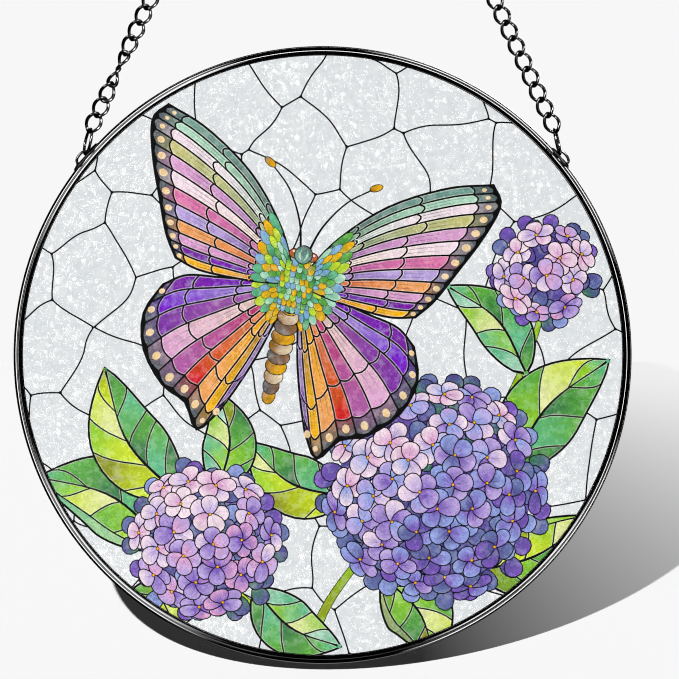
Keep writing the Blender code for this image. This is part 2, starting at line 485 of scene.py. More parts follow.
def dress_wing(picture, rng, wing, strips, bands):
    """Radiating strips of colour, cut across by bands, with spots in a dark edge."""
    picture.paint(grow(wing.outline(), BOLD_LINE / 2), LEAD_INK)
    count = len(strips)
    for i, (root, tip) in enumerate(strips):
        t0, t1, middle = i / count, (i + 1) / count, (i + 0.5) / count
        lift = rng.uniform(-0.035, 0.035)
        edges = [bands[0], *(band + lift for band in bands[1:-2]), *bands[-2:]]
        for j, (s0, s1) in enumerate(zip(edges, edges[1:])):
            patch = wing.cell(t0, t1, s0, s1, 0.018)
            inner, outer = wing.at(middle, s0), wing.at(middle, s1)
            if j == len(edges) - 2:
                picture.stain(grow(patch, -WING_LINE / 2), blend(CHARCOAL, tip, 0.30), CHARCOAL, inner, outer)
                edge_spot(picture, wing, t0, t1, s0, s1)
                continue
            share = j / (len(edges) - 3)
            low, high = blend(root, tip, share * 0.8), blend(root, tip, min(1, share * 0.8 + 0.45))
            if j == 0:
                low = blend(low, CHARCOAL, 0.45)
            picture.glazed(grow(patch, -WING_LINE / 2), low, high, inner, outer)
            for place in (0.34, 0.67):
                t = t0 + (t1 - t0) * place
                reach = rng.uniform(0.45, 0.9)
                line = [wing.at(t, s0 + (s1 - s0) * (0.06 + reach * k / 5)) for k in range(6)]
                shade = blend(blend(low, high, 0.5), CHARCOAL, 0.7)
                picture.stain(stroke(line, [0.22, 0.16, 0.05]), shade, shade, inner, outer)


def edge_spot(picture, wing, t0, t1, s0, s1):
    """A pale spot in one cell of the wing's dark edge."""
    middle, depth = (t0 + t1) / 2, (s0 + s1) / 2 + 0.008
    spot = wing.at(middle, depth)
    inner, outer = wing.at(middle, s0), wing.at(middle, s1)
    size = min(math.dist(inner, outer), math.dist(wing.at(t0, depth), wing.at(t1, depth)))
    way = math.atan2(outer[1] - inner[1], outer[0] - inner[0])
    shape = ellipse(spot, size * 0.27, size * 0.22, way, 10)
    picture.stain(shape, CREAM, blend(CREAM, AMBER, 0.5), inner, outer)


def tongue(place, across, low, high, half_width, points=7):
    """A scale: straight sides from `low` and a round end at `high`, by the wing's or body's own places."""
    bend = (high - low) * 0.5
    rim = [place(across - half_width, low)]
    for step in range(points + 1):
        angle = math.pi * (1 - step / points)
        rim.append(place(across + half_width * math.cos(angle), high - bend + bend * math.sin(angle)))
    return rim + [place(across + half_width, low)]


def wing_scales(picture, rng, wing, rows, across, deep):
    """Rows of scales over the wing's root; each row lies over the one outside it."""
    for row in range(rows):
        far = deep * (1 - row / rows) + 0.03
        near = max(0.0, far - 1.9 * deep / rows)
        for number in range(-1, across + 1):
            middle = (number + 0.5 + 0.5 * (row % 2)) / across
            if not 0.02 < middle < 0.98:
                continue
            shape = tongue(wing.at, middle, near, far, 0.52 / across)
            tones = rng.choice(SCALE_TONES)
            picture.lined(shape, SCALE_LINE, *tones, wing.at(middle, near), wing.at(middle, far))


def body_scales(picture, rng, place):
    """The thorax, scaled in rows from its tail end to its head."""
    for row in range(THORAX_ROWS):
        share = row / (THORAX_ROWS - 1)
        tail = THORAX_LOW + (THORAX_HIGH - THORAX_LOW) * share
        half = THORAX_HALF * math.sin(math.pi * (0.16 + 0.70 * share)) ** 0.7
        count = max(3, round(2 * half / 1.9))
        for number in range(count + row % 2):
            middle = (2 * (number + 0.5 - 0.5 * (row % 2)) / count - 1) * half
            middle = max(-half * 0.93, min(half * 0.93, middle))
            low, high = rng.choice(SCALE_TONES)
            shape = tongue(place, middle, tail + 3.4, tail, 1.06 * half / count)
            picture.lined(shape, SCALE_LINE, high, low, place(middle, tail), place(middle, tail + 3))


FORE_LEAD = [(2, 6), (10, 20), (24, 35), (42, 46), (57, 51)]
FORE_OUTER = [(57, 51), (61, 45), (58, 33), (52, 19), (47, 8), (42, 1)]
FORE_TRAIL = [(2, 2), (12, 0), (24, -1), (34, -1), (42, 1)]
HIND_LEAD = [(3, 1), (14, 0), (26, -2), (37, -4), (44, -9)]
HIND_OUTER = [(44, -9), (48, -20), (45, -32), (36, -42), (27, -46), (21, -54), (15, -46)]
HIND_TRAIL = [(1, -3), (4, -12), (7, -24), (11, -36), (15, -46)]
FORE_STRIPS = [
    (CHARCOAL, SAGE), (DEEP_GREEN, MINT), (MINT, PINK_WHITE), (SAGE, TAN), (PURPLE, ROSE),
    (CREAM, PINK_WHITE), (MAUVE, PINK), (PURPLE, LAVENDER), (RED, PEACH), (MAUVE, ROSE),
    (VIVID_VIOLET, PURPLE), (PEACH, AMBER),
]
HIND_STRIPS = [
    (VIVID_VIOLET, PURPLE), (LAVENDER, VIVID_VIOLET), (MAUVE, PURPLE), (CREAM, ROSE), (RED, MAUVE),
    (PEACH, RED), (AMBER, PEACH), (BROWN, AMBER), (LAVENDER, PURPLE),
]
SCALE_TONES = [
    (DEEP_GREEN, TEAL), (TEAL, MINT), (DEEP_GREEN, GREEN), (GREEN, LIME), (OLIVE, AMBER), (SAGE, SKY),
]
# For each wing: its sides, its strips, where bands cross them, and the rows, number and reach of its scales
WINGS = [
    (HIND_LEAD, HIND_OUTER, HIND_TRAIL, HIND_STRIPS, [0.04, 0.36, 0.68, 0.88, 0.985], 4, 6, 0.24),
    (FORE_LEAD, FORE_OUTER, FORE_TRAIL, FORE_STRIPS, [0.04, 0.34, 0.62, 0.88, 0.985], 5, 7, 0.30),
]
FEELER = [(1.2, 13), (4, 23), (10, 33), (18, 40)]
RING_TONES = [(BROWN, AMBER), (CHARCOAL, BROWN), (BROWN, CREAM)]
TAIL_RINGS = 10
THORAX_ROWS = 9
THORAX_LOW = -8
THORAX_HIGH = 8
THORAX_HALF = 5.6


def butterfly(picture, rng, centre, lean, size):
    """A butterfly from above with its wings open; `lean` turns its head from upright."""
    cos, sin = math.cos(lean), math.sin(lean)

    def spread(hand):
        def place(point):
            x, y = point[0] * hand * size, point[1] * size
            return (centre[0] + x * cos - y * sin, centre[1] + x * sin + y * cos)

        return place

    middle = spread(1)
    for hand in (-1, 1):
        place = spread(hand)
        for lead, outer, trail, strips, bands, *scales in WINGS:
            wing = Wing(lead, outer, trail, place)
            dress_wing(picture, rng, wing, strips, bands)
            wing_scales(picture, rng, wing, *scales)
        picture.paint(stroke(through(map(place, FEELER), 5), [0.8, 0.55, 0.45]), LEAD_INK)
        club = ellipse(place((18.6, 40.4)), 2.2 * size, 1.05 * size, lean + hand * 0.5, 12)
        picture.lined(club, 0.25, AMBER, BROWN, club[0], club[6])
    for number in range(TAIL_RINGS):
        share = number / (TAIL_RINGS - 1)
        spot = middle((0, -37 + 31 * share))
        wide = (1.0 + 3.0 * math.sin(math.pi * (0.12 + 0.62 * share))) * size
        ring = ellipse(spot, 2.8 * size, wide, lean + math.pi / 2, 16)
        run = middle((-4, -36 + 30 * share)), middle((4, -33 + 30 * share))
        picture.lined(ring, 0.26, *RING_TONES[number % 3], *run)
    core = ellipse(middle((0, 1.5)), 9.5 * size, 5.0 * size, lean + math.pi / 2, 24)
    picture.lined(core, 0.4, DEEP_GREEN, SAGE, middle((-5, -4)), middle((5, 6)))
    body_scales(picture, rng, lambda x, y: middle((x, y)))
    for hand in (-1, 1):
        place = spread(hand)
        spot, glint = place((3.1, 12.2)), place((3.5, 12.9))
        eye = ellipse(spot, 1.75 * size, 1.5 * size, lean, 14)
        picture.lined(eye, 0.26, BROWN, RED, spot, place((5, 13)))
        picture.stain(ellipse(glint, 0.5, 0.4, lean, 8), CREAM, CREAM, glint, spot)
    head = ellipse(middle((0, 12.4)), 2.9 * size, 3.0 * size, lean, 18)
    picture.lined(head, 0.32, SAGE, CHARCOAL, middle((-1, 10)), middle((2, 15)))
    for hand in (-1, 1):
        stripe = through(map(spread(hand), [(0.5, 10.4), (1.3, 12.2), (1.0, 14.6)]), 4)
        picture.stain(stroke(stripe, [0.2, 0.75, 0.2]), MINT, TEAL, stripe[0], stripe[-1])


# ---- the whole picture

GREEN_LIGHTS = [(LIME, FRESH), (FRESH, GREEN), (STRAW, LIME), (FRESH, TEAL)]
GREEN_DARKS = [(GREEN, DEEP_GREEN), (TEAL, GREEN), (DEEP_GREEN, GREEN), (GREEN, TEAL)]
OLIVE_LIGHTS = [(STRAW, LIME), (LIME, OLIVE), (LIME, FRESH)]
OLIVE_DARKS = [(OLIVE, GREEN), (FRESH, GREEN), (GREEN, DEEP_GREEN)]
MINT_LIGHTS = [(MINT, TEAL), (FRESH, TEAL), (STRAW, FRESH)]

COOL_HEAD = [
    [(INDIGO, VIOLET), (VIOLET, PERIWINKLE), (INDIGO, SLATE)],
    [(VIOLET, PERIWINKLE), (VIOLET, LAVENDER), (INDIGO, PERIWINKLE)],
    [(VIOLET, LAVENDER), (PERIWINKLE, LAVENDER), (LAVENDER, PINK_WHITE)],
    [(LAVENDER, PINK_WHITE), (PERIWINKLE, PINK_WHITE), (ROSE, PINK_WHITE)],
]
WARM_HEAD = [
    [(VIOLET, LAVENDER), (VIOLET, ROSE)],
    [(VIOLET, LAVENDER), (ROSE, LAVENDER), (LAVENDER, PINK_WHITE)],
    [(ROSE, PINK_WHITE), (LAVENDER, PINK_WHITE)],
    [(ROSE, PINK_WHITE), (LAVENDER, PINK_WHITE), (PINK_WHITE, PINK_WHITE)],
]

# Each stem's line, its widths and its tones
STEMS = [
    ([(-6, -99), (2, -80), (16, -62), (30, -52)], [3.0, 2.2, 1.8], OLIVE, FRESH),
    ([(-12, -99), (-20, -84), (-34, -72)], [2.8, 2.0, 1.6], GREEN, LIME),
    ([(40, -45), (58, -18), (68, 4), (72, 20)], [2.4, 1.8, 1.4], OLIVE, FRESH),
]
# Each leaf's base, tip, bow, width, tones on either side, veins and the side that turns over
LEAVES = [
    ((60, -38), (93, -2), 5, 25, GREEN_LIGHTS, GREEN_DARKS, 3, 0),
    ((66, -6), (40, 22), -5, 17, MINT_LIGHTS, GREEN_DARKS, 3, 0),
    ((50, -70), (86, -52), -4, 24, OLIVE_LIGHTS, OLIVE_DARKS, 3, 1),
    ((20, -72), (36, -99), 4, 22, GREEN_LIGHTS, OLIVE_DARKS, 3, -1),
    ((8, -46), (-24, -28), 5, 20, OLIVE_LIGHTS, GREEN_DARKS, 3, 0),
    ((-22, -76), (6, -94), -4, 18, MINT_LIGHTS, GREEN_DARKS, 3, 0),
    ((-50, -62), (-92, -40), -6, 26, GREEN_LIGHTS, GREEN_DARKS, 3, 1),
    ((-46, -46), (-70, -4), 6, 24, OLIVE_LIGHTS, GREEN_DARKS, 4, 0),
    ((-34, -44), (-34, -12), -4, 17, MINT_LIGHTS, OLIVE_DARKS, 3, 0),
    ((-50, -72), (-66, -90), 3, 18, OLIVE_LIGHTS, OLIVE_DARKS, 2, 0),
]

# Each flower head's middle, radius, floret size and tones
HEADS = [((72, 27), 14, 11.0, WARM_HEAD), ((-38, -60), 22, 12.4, WARM_HEAD), ((36, -44), 33, 13.2, COOL_HEAD)]


def compose(radius):
    """The whole picture, for a pane of that radius."""
    picture = Picture()
    ground = radius + 30
    picture.paint(ellipse((0, 0), ground, ground, points=64), LEAD_INK)
    crackle(picture, radius, random.Random(11))
    rng = random.Random(5)
    for row in STEMS:
        stem(picture, *row)
    for row in LEAVES:
        leaf(picture, rng, *row)
    for row in HEADS:
        flower_head(picture, rng, *row)
    butterfly(picture, random.Random(21), (-9, 21), math.radians(-14), 0.95)
    border(picture, round((RIM_RADIUS - RIM_FACE) / MM - BORDER_SHOWN, 3), ground)
    return picture


def border(picture, inner, outer):
    """A black ring round the whole picture: out round one circle and back round the other."""
    near = ellipse((0, 0), inner, inner, points=180)
    far = ellipse((0, 0), outer, outer, points=64)
    picture.paint([*far, far[0], near[0], *near[::-1]], LEAD_INK)


# ---- the pane

OUTSIDE = -9
PANE_SIDES = 288
RELIEF_GRID = 1.25
RELIEF_HEIGHT = 0.11
# The dimples' two sizes of wave: length, layer of the noise and share
RELIEF_WAVES = ((2.9, 0.5, 0.65), (1.7, 7.5, 0.35))


def covers(outline, spots):
    """Which of the spots the outline winds round."""
    x, y = spots[:, 0][:, None], spots[:, 1][:, None]
    ahead = np.roll(outline, -1, 0)
    rise = ahead[:, 1] - outline[:, 1]
    rise[rise == 0] = 1e-12
    crossing = outline[:, 0] + (y - outline[:, 1]) * (ahead[:, 0] - outline[:, 0]) / rise
    passed = ((outline[:, 1] <= y) != (ahead[:, 1] <= y)) & (crossing > x)
    return np.sum(np.where(passed, np.sign(rise), 0), axis=1) != 0


def cut(corners, edges):
    """Triangles that keep every edge given. Lines that cross are cut where they meet."""
    found = delaunay_2d_cdt([Vector(c) for c in corners], edges, [], 0, 1e-5, False)
    return np.array([(v.x, v.y) for v in found[0]]), np.array([tuple(f) for f in found[2]])


def shapes_seen(picture, corners, triangles):
    """What lies over each triangle's middle: a stain's number, or -1 less the kind of anything else."""
    middles = corners[triangles].mean(axis=1)
    order = np.argsort(middles[:, 0])
    in_order = middles[order, 0]
    seen = np.full(len(triangles), -1 - LEAD)
    for number, (outline, ink) in enumerate(zip(picture.outlines, picture.inks)):
        low, high = outline.min(0), outline.max(0)
        near = order[np.searchsorted(in_order, low[0]):np.searchsorted(in_order, high[0])]
        near = near[(middles[near, 1] > low[1]) & (middles[near, 1] < high[1])]
        if len(near):
            under = near[covers(outline, middles[near])]
            seen[under] = number if ink.kind == STAIN else -1 - ink.kind
    return seen


def border_edges(triangles, seen):
    """The edges where what is seen changes."""
    sides = np.concatenate([triangles[:, [0, 1]], triangles[:, [1, 2]], triangles[:, [2, 0]]])
    owner = np.tile(seen, 3)
    sides.sort(axis=1)
    order = np.lexsort((sides[:, 1], sides[:, 0]))
    sides, owner = sides[order], owner[order]
    same = (sides[1:] == sides[:-1]).all(axis=1)
    between = same & (owner[1:] != owner[:-1])
    return sides[1:][between]


def cells(picture, corners, edges, reach):
    """The plane cut along the edges, and what each triangle shows; those beyond `reach` lie outside."""
    corners, triangles = cut(corners, edges)
    seen = shapes_seen(picture, corners, triangles)
    seen[np.hypot(*corners[triangles].mean(axis=1).T) > reach] = OUTSIDE
    return corners, triangles, seen


def partition(picture, rim_line):
    """The pane's face in flat cells along every visible line: corners, triangles and what each one shows."""
    radius, count = math.hypot(*rim_line[0]), len(rim_line)
    corners, edges = list(rim_line), [(i, (i + 1) % count) for i in range(count)]
    for outline in picture.outlines:
        if np.hypot(*outline.T).min() > radius:
            continue
        first, count = len(corners), len(outline)
        corners += outline.tolist()
        edges += [(first + i, first + (i + 1) % count) for i in range(count)]
    inner = radius * math.cos(math.pi / len(rim_line)) - 1e-4
    corners, triangles, seen = cells(picture, corners, edges, inner)
    # The second cut keeps only the lines where what is seen changes, so there are far fewer cells
    edges = border_edges(triangles, seen)
    used = np.unique(edges)
    renumber = {old: new for new, old in enumerate(used)}
    edges = [(renumber[a], renumber[b]) for a, b in edges]
    corners, triangles, seen = cells(picture, corners[used].tolist(), edges, inner)
    inside = seen != OUTSIDE
    return corners, triangles[inside], seen[inside]


def write_stains(mesh, picture, triangles, corners, seen):
    """Writes each stained cell's two colours, and for its corners the place along and across the run."""
    count = len(triangles)
    low, high = np.ones((count, 3)), np.ones((count, 3))
    grain = np.zeros((count, 3, 3))
    for number in np.unique(seen[seen >= 0]):
        ink = picture.inks[number]
        mine = np.nonzero(seen == number)[0]
        start, run = np.array(ink.start), np.array(ink.end) - np.array(ink.start)
        length = max(float(np.hypot(*run)), 1e-3)
        run = run / length
        offset = corners[triangles[mine]] - start
        low[mine], high[mine] = ink.low, ink.high
        grain[mine, :, 0] = offset @ run / length
        grain[mine, :, 1] = offset @ np.array([-run[1], run[0]])
        grain[mine, :, 2] = number * 7.31 % 97
    for name, values in (("stain_low", low), ("stain_high", high), ("grain", grain)):
        layer = mesh.attributes.new(name, "FLOAT_VECTOR", "FACE" if values.ndim == 2 else "CORNER")
        layer.data.foreach_set("vector", values.astype(np.float32).ravel())


def make_glass_panel(finishes):
    """One pane: its flat face is cut into the picture's cells, and its back is gently hammered."""
    radius = PANE_RADIUS / MM
    half = PANE_THICKNESS / 2
    rim_line = [(radius * math.sin(a), radius * math.cos(a)) for a in turns(PANE_SIDES)]
    picture = compose(round(radius, 3))
    corners, triangles, seen = partition(picture, rim_line)
    first, second, third = (corners[triangles[:, i]] for i in range(3))
    turned = np.cross(second - first, third - first) < 0
    triangles[turned] = triangles[turned][:, ::-1]
    mesh = bpy.data.meshes.new("glass_panel_print")
    places = [(x * MM + PANE_CENTRE.x, PANE_CENTRE.y - half, z * MM + PANE_CENTRE.z) for x, z in corners]
    mesh.from_pydata(places, [], triangles.tolist())
    kinds = np.where(seen >= 0, STAIN, -1 - seen)
    mesh.polygons.foreach_set("material_index", kinds.astype(np.int32))
    write_stains(mesh, picture, triangles, corners, seen)
    pane = bmesh.new()
    pane.from_mesh(mesh)
    bmesh.ops.delete(pane, geom=[v for v in pane.verts if not v.link_faces], context="VERTS")
    rim_edges = [e for e in pane.edges if e.is_boundary]
    wall = bmesh.ops.extrude_edge_only(pane, edges=rim_edges)["geom"]
    far = [g for g in wall if isinstance(g, bmesh.types.BMVert)]
    bmesh.ops.translate(pane, verts=far, vec=(0, PANE_THICKNESS, 0))
    for face in [g for g in wall if isinstance(g, bmesh.types.BMFace)]:
        face.material_index = CLEAR
    hammered_back(pane, rim_line, half)
    back = [v for v in pane.verts if v.co.y > PANE_CENTRE.y + half * 0.9]
    bmesh.ops.remove_doubles(pane, verts=back, dist=2e-6)
    pane.to_mesh(mesh)
    pane.free()
    mesh.set_sharp_from_angle(angle=math.radians(40))
    return add_piece("stained_pane", mesh, finishes, "glass_panel")


def hammered_back(pane, rim_line, half):
    """The pane's back, with shallow dimples that run out before its edge."""
    radius = math.hypot(*rim_line[0])
    count = int(radius / RELIEF_GRID)
    spots = [
        (RELIEF_GRID * (column + 0.5 * (row % 2)), RELIEF_GRID * 0.866 * row)
        for row in range(-2 * count, 2 * count)
        for column in range(-count - 1, count + 1)
    ]
    spots = [s for s in spots if math.hypot(*s) < radius - RELIEF_GRID * 0.7]
    edges = [(i, (i + 1) % len(rim_line)) for i in range(len(rim_line))]
    corners, triangles = cut(rim_line + spots, edges)
    made = []
    for x, z in corners:
        fade = min(1.0, max(0.0, (radius - 1.6 - math.hypot(x, z)) / 2))
        dent = sum(noise.noise(Vector((x / long, at, z / long))) * part for long, at, part in RELIEF_WAVES)
        y = half - RELIEF_HEIGHT * MM * fade * (0.5 + 0.5 * max(-1.0, min(1.0, 1.6 * dent)))
        made.append(pane.verts.new((x * MM + PANE_CENTRE.x, y + PANE_CENTRE.y, z * MM + PANE_CENTRE.z)))
    for a, b, c in triangles.tolist():
        face = pane.faces.new((made[a], made[b], made[c]))
        face.normal_update()
        if face.normal.y < 0:
            face.normal_flip()
        face.smooth = True
        face.material_index = CLEAR


# ---- metal work

RIM_TURNS = 288
# The face's arcs from its edge inwards, to either side of a groove: radius in millimetres, the first and
# last tilt of the face in degrees, and steps
OUTER_ROLL = [(1.00, 90, 40, 8), (0.15, 40, 26, 6), (1.45, 26, 6, 10), (3.4, 6, 3.5, 3)]
OUTER_ROLL += [(0.10, 3.5, 0, 2), (9.6, 0, -1.2, 2)]
GROOVE_WALL = (-0.000085, 0.000235)
INNER_ROLL = [(5.4, 34, 30, 6), (0.06, 30, 4, 6), (8.6, 4, -4, 8), (0.04, -4, -85, 6)]
BACK_ROLL = 0.0009
CHANNEL_HALF = 0.0018
# The back lip is a little narrower than the front one, so that it does not show through the glass
BACK_SHY = 0.0006
LIP_UNDERCUT = 0.0003

# The eye, rings and chain repeat the solids' sizes; links and rings then close the gaps that solids keep
EYE_ANGLE = math.radians(50.55)
EYE_WIRE = 0.0009
EYE_HALF_SPAN = 0.0023
EYE_RISE = 0.00105
EYE_LEG = 0.00105
EYE_FEET = {-1: (0.0040, 0.0024), 1: (0.0019, 0.0010)}
EYE_BEARING = math.radians(8)
SOLDER_RISE = 0.00078
SOLDER_DEPTH = 0.0010
SOLDER_LINE = RIM_RADIUS - 0.0004
SOLDER_FRONT = Vector((0, -RIM_HALF + 0.0007, 0))
SOLDER_WIDTHS = [0.0003, 0.0013, 0.0019, 0.0017, 0.0015, 0.0017, 0.0019, 0.0013, 0.0003]
SOLDER_STEPS = 16
SOLDER_LUMPS = 0.00016

JUMP_REACH = 0.00415
JUMP_WIRE = 0.0010
JUMP_LEAN = math.radians(12)
JUMP_TURN = {-1: math.radians(-17), 1: math.radians(9)}
JUMP_GAP = math.radians(2.5)
JUMP_GAP_PLACE = 1.9
TOP_REACH = 0.00525
TOP_WIRE = 0.0015
WIRE_SHY = 0.00002
LINK_WIDTH = 0.0057
LINK_WIRE = 0.00108
LINK_FULLNESS = 1.05
LINK_TWIST = math.radians(45)
LINKS = 32
TURNED_LINKS = 5
TOP_TURN = math.radians(45)
LINK_HALF = (LINK_WIDTH - LINK_WIRE) / 2
LINK_CLEARANCE = 0.00002
# The left chain turns over once, in these links counted from its lowest one
HALF_TURN = {2: 30, 3: 72, 4: 118, 5: 160, 6: 176}


def leaning(angle, side, up=1):
    """A unit vector in the upright plane, turned from straight up, or from straight down where `up` is -1."""
    return Vector((side * math.sin(angle), 0, up * math.cos(angle)))


def placed(name, data):
    """A new object in the scene."""
    body = bpy.data.objects.new(name, data)
    bpy.context.scene.collection.objects.link(body)
    return body


def add_piece(name, mesh, finishes, node):
    """Sets a finished mesh in place as a piece that stands for its CAD node."""
    mesh.name = name
    piece = placed(name, mesh)
    for finish in finishes:
        mesh.materials.append(finish)
    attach(piece, "root")
    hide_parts(node)
    return piece


def add_metal(name, shape, finishes, node, crease=40):
    """The bmesh as a smooth black piece whose creases sharper than `crease` degrees stay sharp."""
    bmesh.ops.recalc_face_normals(shape, faces=shape.faces)
    for face in shape.faces:
        face.smooth = True
    mesh = bpy.data.meshes.new(name)
    shape.to_mesh(mesh)
    shape.free()
    mesh.set_sharp_from_angle(angle=math.radians(crease))
    return add_piece(name, mesh, finishes, node)


def eye_point(along_rim, out, side):
    """A place by its distance along and beyond the rim's outer edge, from where the eye sits."""
    upward = Vector((-side * math.cos(EYE_ANGLE), 0, math.sin(EYE_ANGLE)))
    return (RIM_RADIUS + out) * leaning(EYE_ANGLE, side) + along_rim * upward


def bow_point(angle, side):
    return eye_point(EYE_HALF_SPAN * math.cos(angle), EYE_LEG + EYE_RISE * math.sin(angle), side)


def jump_down(side):
    """The way that a jump ring hangs."""
    return leaning(JUMP_LEAN, side, -1)


# The jump ring's foot bears on the eye's arch, and the chain runs straight from its top to the top ring
JUMP_FOOT = bow_point(EYE_BEARING, 1) + (JUMP_WIRE + EYE_WIRE) / 2 * jump_down(1)
TOP_LOW, TOP_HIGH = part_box("top_ring")
TOP_CENTRE = (Vector(TOP_LOW) + Vector(TOP_HIGH)) / 2
CHAIN_RUN = PANE_CENTRE + JUMP_FOOT - 2 * JUMP_REACH * jump_down(1) - TOP_CENTRE
CHAIN_LEAN = math.atan2(CHAIN_RUN.x, -CHAIN_RUN.z)

# Distances down the chain's line from the top ring's centre, each link bearing on the next
CHAIN_START = TOP_REACH - (TOP_WIRE + LINK_WIRE) / 2
CHAIN_END = CHAIN_RUN.length + (JUMP_WIRE + LINK_WIRE) / 2
LINK_PITCH = (CHAIN_END - CHAIN_START - LINK_WIRE - LINK_CLEARANCE) / LINKS
LINK_REACH = (LINK_PITCH + LINK_WIRE + LINK_CLEARANCE) / 2
FIRST_LINK = CHAIN_START + LINK_REACH


def foot_point(along_rim, side):
    """A place on the wire of an eye's foot, which follows the rim's edge."""
    return (RIM_RADIUS + EYE_WIRE * 0.42) * leaning(EYE_ANGLE - along_rim / RIM_RADIUS, side)


def chain_place(distance, side):
    """The matrix that sets a shape, drawn upright round the origin, on the chain's line from the top ring."""
    spot = TOP_CENTRE + distance * leaning(CHAIN_LEAN, side, -1)
    return Matrix.Translation(spot) @ Matrix.Rotation(-side * CHAIN_LEAN, 4, "Y")


def follow(line, radius, first, last, steps):
    """Carries a section on by an arc while its face turns from one tilt to another, in degrees.

    A face at 90 looks outwards, at 0 forwards and at -90 to the axis.
    """
    def faced(tilt):
        return Vector((math.sin(math.radians(tilt)), -math.cos(math.radians(tilt))))

    centre = Vector(line[-1]) - radius * MM * faced(first)
    for step in range(1, steps + 1):
        line.append(tuple(centre + radius * MM * faced(first + (last - first) * step / steps)))


def rim_profile():
    """The channel's section as (distance from the axis, depth): two rolls in front, one roll behind."""
    inner = RIM_RADIUS - RIM_FACE
    front = [(RIM_RADIUS, 0)]
    for arc in OUTER_ROLL:
        follow(front, *arc)
    front.append((front[-1][0] + GROOVE_WALL[0], front[-1][1] + GROOVE_WALL[1]))
    for arc in INNER_ROLL:
        follow(front, *arc)
    foremost = min(depth for distance, depth in front)
    front = [(distance, depth - foremost - RIM_HALF) for distance, depth in front]
    lip = inner + BACK_SHY
    channel = [(inner + LIP_UNDERCUT, -CHANNEL_HALF), (RIM_RADIUS - RIM_WEB, -CHANNEL_HALF)]
    channel += [(RIM_RADIUS - RIM_WEB, CHANNEL_HALF), (lip, CHANNEL_HALF)]
    roll = (RIM_FACE - BACK_SHY) / 2
    depth = RIM_HALF - BACK_ROLL
    back = [(lip + roll * (1 - math.cos(a)), depth + BACK_ROLL * math.sin(a)) for a in half_turn(14)]
    return front + channel + back


def make_rim(finish):
    """The black channel round the pane, spun from its section."""
    shape = bmesh.new()
    line = [shape.verts.new(PANE_CENTRE + Vector((out, depth, 0))) for out, depth in rim_profile()]
    edges = [shape.edges.new(pair) for pair in zip(line, line[1:] + line[:1])]
    around = {"cent": PANE_CENTRE, "axis": (0, 1, 0), "angle": 2 * math.pi, "steps": RIM_TURNS}
    bmesh.ops.spin(shape, geom=line + edges, use_merge=True, **around)
    bmesh.ops.remove_doubles(shape, verts=shape.verts, dist=1e-6)
    return add_metal("rim_channel", shape, [finish], "rim", 50)


def ring_shape(shape, reach, wire, place, steps, sides=12, gap=0.0):
    """Adds a round wire ring in the upright plane, turned to `place`; `gap` leaves it open by that angle."""
    before = set(shape.verts)
    section = circle(shape, wire, Matrix.Translation((reach, 0, 0)), sides)
    bmesh.ops.rotate(shape, verts=section, cent=(0, 0, 0), matrix=Matrix.Rotation(gap / 2, 3, "Y"))
    around = {"cent": (0, 0, 0), "axis": (0, 1, 0), "angle": 2 * math.pi - gap, "steps": steps}
    bmesh.ops.spin(shape, geom=section + edges_of(section), use_merge=gap == 0, **around)
    made = [v for v in shape.verts if v not in before]
    if gap:
        bmesh.ops.holes_fill(shape, edges=[e for e in edges_of(made) if e.is_boundary], sides=0)
    bmesh.ops.remove_doubles(shape, verts=made, dist=1e-6)
    made = [v for v in shape.verts if v not in before]
    bmesh.ops.transform(shape, matrix=place, verts=made)
    return made


def circle(shape, width, place, sides):
    """Adds an open circle, the section of a wire of that width."""
    made = bmesh.ops.create_circle(shape, segments=sides, radius=width / 2, matrix=place, cap_ends=False)
    return made["verts"]


def edges_of(verts):
    return list(dict.fromkeys(edge for vertex in verts for edge in vertex.link_edges))


def make_top_ring(finish):
    shape = bmesh.new()
    ring_shape(shape, TOP_REACH, TOP_WIRE - WIRE_SHY, Matrix.Translation(TOP_CENTRE), 64, 14)
    return add_metal("hanging_ring", shape, [finish], "top_ring")


def make_jump_ring(side, hand, finish):
    """The small open ring, edge-on, between an eye and its chain."""
    shape = bmesh.new()
    centre = PANE_CENTRE + JUMP_REACH * -jump_down(side) + Vector((side * JUMP_FOOT.x, 0, JUMP_FOOT.z))
    lean = Matrix.Rotation(-side * JUMP_LEAN, 4, "Y")
    edge_on = Matrix.Rotation(math.pi / 2 - JUMP_TURN[side], 4, "Z")
    place = Matrix.Translation(centre) @ lean @ edge_on @ Matrix.Rotation(JUMP_GAP_PLACE, 4, "Y")
    ring_shape(shape, JUMP_REACH, JUMP_WIRE - WIRE_SHY, place, 40, 12, JUMP_GAP)
    return add_metal(f"joining_ring_{hand}", shape, [finish], f"jump_ring_{hand}")


def link_form(vertex, turn_all):
    """Stretches a round ring's point to a twisted oval link."""
    angle = math.atan2(vertex.co.z, vertex.co.x)
    out = math.hypot(vertex.co.x, vertex.co.z) - LINK_HALF
    path = Vector((LINK_HALF * math.cos(angle), 0, LINK_REACH * math.sin(angle)))
    normal = Vector((LINK_REACH * math.cos(angle), 0, LINK_HALF * math.sin(angle))).normalized()
    spot = path + normal * out + Vector((0, vertex.co.y, 0))
    turn = LINK_TWIST * spot.z / LINK_REACH + turn_all
    vertex.co = Matrix.Rotation(turn, 3, "Z") @ spot


